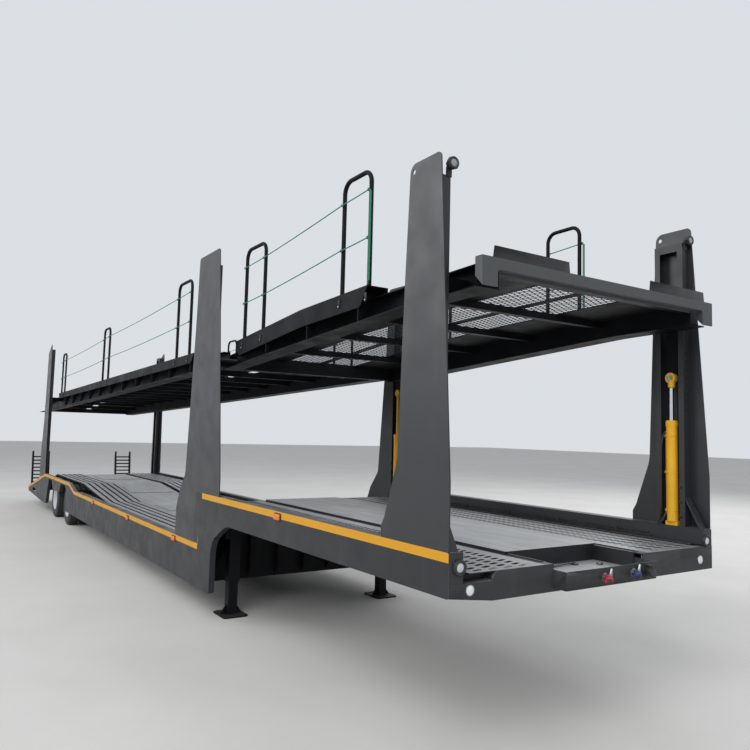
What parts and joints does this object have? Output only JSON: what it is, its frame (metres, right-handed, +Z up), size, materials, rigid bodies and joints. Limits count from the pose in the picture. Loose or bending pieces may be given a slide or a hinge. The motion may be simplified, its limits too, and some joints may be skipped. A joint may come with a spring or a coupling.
{
  "type": "two-deck car carrier semi-trailer",
  "caption": "Gooseneck car carrier semi-trailer with a tilting upper deck between lift posts, lower wheel tracks, twin-tyre axles, landing legs and loading ramps.",
  "frame": {"origin": "on the ground below the middle of the trailer", "axes": "+X towards the gooseneck, +Y left, +Z up"},
  "size_m": [16.4874, 2.5, 3.767],
  "materials": {
    "body_paint": "satin dark grey",
    "chassis_paint": "satin near black",
    "deck_paint": "worn satin grey",
    "upper_floor_paint": "satin near black",
    "rail_paint": "gloss near black",
    "cylinder_paint": "gloss amber yellow",
    "chrome": "polished",
    "bare_steel": "machined, greased",
    "coupling_paint": "satin",
    "rim_paint": "gloss white",
    "amber_lens": "gloss",
    "red_lens": "gloss",
    "clear_lens": "gloss",
    "tyre": "matt rubber"
  },
  "bodies": {
    "root": {"centre_plate": "deck_paint", "coupler_plate": "chassis_paint", "frame_rails": "chassis_paint", "front_axle": "chassis_paint", "front_bumper": "body_paint", "front_cylinders": "cylinder_paint", "front_lamps": "clear_lens", "front_post_left": "body_paint", "front_post_right": "body_paint", "gooseneck_cross_members": "chassis_paint", "gooseneck_rails": "chassis_paint", "gooseneck_side_rails": "chassis_paint", "kingpin": "bare_steel", "landing_legs": "chassis_paint", "landing_shaft": "chassis_paint", "line_couplings": "coupling_paint", "lower_cross_members": "chassis_paint", "mid_carriage": "chassis_paint", "mid_cylinders": "cylinder_paint", "mid_post_left": "body_paint", "mid_post_right": "body_paint", "nose_centre_plate": "deck_paint", "nose_tracks": "deck_paint", "ramp_hinges": "chassis_paint", "rear_axle": "chassis_paint", "rear_post_left": "body_paint", "rear_post_right": "body_paint", "side_lamps": "amber_lens", "side_panel_left": "body_paint", "side_panel_right": "body_paint", "step_wall": "chassis_paint", "suspension": "chassis_paint", "tail_lamps": "red_lens", "wheel_track_left": "deck_paint", "wheel_track_right": "deck_paint"},
    "upper_front": {"front_cross_members": "chassis_paint", "front_deck_beams": "chassis_paint", "front_floor": "upper_floor_paint", "front_hoops": "rail_paint", "front_mesh": "upper_floor_paint", "front_walkways": "chassis_paint"},
    "front_wheels_left": {"front_rims_left": "rim_paint", "front_tyres_left": "tyre"},
    "front_wheels_right": {"front_rims_right": "rim_paint", "front_tyres_right": "tyre"},
    "front_rods": {"front_rods": "chrome"},
    "ramp_left": {"ramp_left": "chassis_paint"},
    "ramp_right": {"ramp_right": "chassis_paint"},
    "upper_rear": {"rear_cross_members": "chassis_paint", "rear_deck_beams": "chassis_paint", "rear_floor": "upper_floor_paint", "rear_hoops": "rail_paint", "rear_walkways": "chassis_paint"},
    "rear_wheels_left": {"rear_rims_left": "rim_paint", "rear_tyres_left": "tyre"},
    "rear_wheels_right": {"rear_rims_right": "rim_paint", "rear_tyres_right": "tyre"}
  },
  "joints": [
    {"name": "upper_front_tilt", "type": "hinge", "parent": "root", "child": "upper_front", "pos_m": [4.12375, 0, 2.56], "axis": [0, -1, 0], "range_deg": [-3.4, 5.3]},
    {"name": "upper_rear_tilt", "type": "hinge", "parent": "root", "child": "upper_rear", "pos_m": [4.12375, 0, 2.56], "axis": [0, 1, 0], "range_deg": [-6, 1.5]},
    {"name": "front_rods_slide", "type": "slide", "parent": "root", "child": "front_rods", "axis": [0, 0, 1], "range_m": [-0.225, 0.345]},
    {"name": "front_wheels_right_roll", "type": "hinge", "parent": "root", "child": "front_wheels_right", "pos_m": [-3.34625, -0.96, 0.375], "axis": [0, 1, 0], "continuous": true},
    {"name": "front_wheels_left_roll", "type": "hinge", "parent": "root", "child": "front_wheels_left", "pos_m": [-3.34625, 0.96, 0.375], "axis": [0, 1, 0], "continuous": true},
    {"name": "rear_wheels_right_roll", "type": "hinge", "parent": "root", "child": "rear_wheels_right", "pos_m": [-4.69625, -0.96, 0.375], "axis": [0, 1, 0], "continuous": true},
    {"name": "rear_wheels_left_roll", "type": "hinge", "parent": "root", "child": "rear_wheels_left", "pos_m": [-4.69625, 0.96, 0.375], "axis": [0, 1, 0], "continuous": true},
    {"name": "ramp_right_fold", "type": "hinge", "parent": "root", "child": "ramp_right", "pos_m": [-8.10625, -0.99, 0.33], "axis": [0, -1, 0], "range_deg": [0, 100]},
    {"name": "ramp_left_fold", "type": "hinge", "parent": "root", "child": "ramp_left", "pos_m": [-8.10625, 0.99, 0.33], "axis": [0, -1, 0], "range_deg": [0, 100]}
  ],
  "couplings": [
    {"joint": "front_rods_slide", "follows": "upper_front_tilt", "m_per_rad": 3.685}
  ]
}
